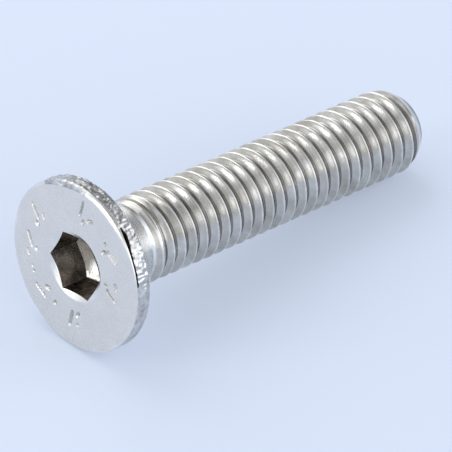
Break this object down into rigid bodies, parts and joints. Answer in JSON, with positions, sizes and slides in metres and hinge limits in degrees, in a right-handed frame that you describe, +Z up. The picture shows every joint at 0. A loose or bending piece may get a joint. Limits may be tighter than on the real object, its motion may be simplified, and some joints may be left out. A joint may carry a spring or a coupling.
{
  "type": "countersunk socket screw",
  "caption": "Countersunk machine screw with a flat head, a hexagon socket and a right-hand thread that runs nearly up to the head, lying at rest.",
  "frame": {"origin": "bottom centre of the bounding box of the screw lying at rest on its head rim and its last full thread crest", "axes": "+Z up, +X level from the head towards the tip; the screw's own axis dips 6.3 degrees below +X, and +Y is across it"},
  "size_m": [0.0308, 0.012, 0.012],
  "materials": {
    "stainless_steel": "bright rolled and turned stainless steel"
  },
  "bodies": {
    "root": {"screw": "stainless_steel"}
  },
  "joints": []
}
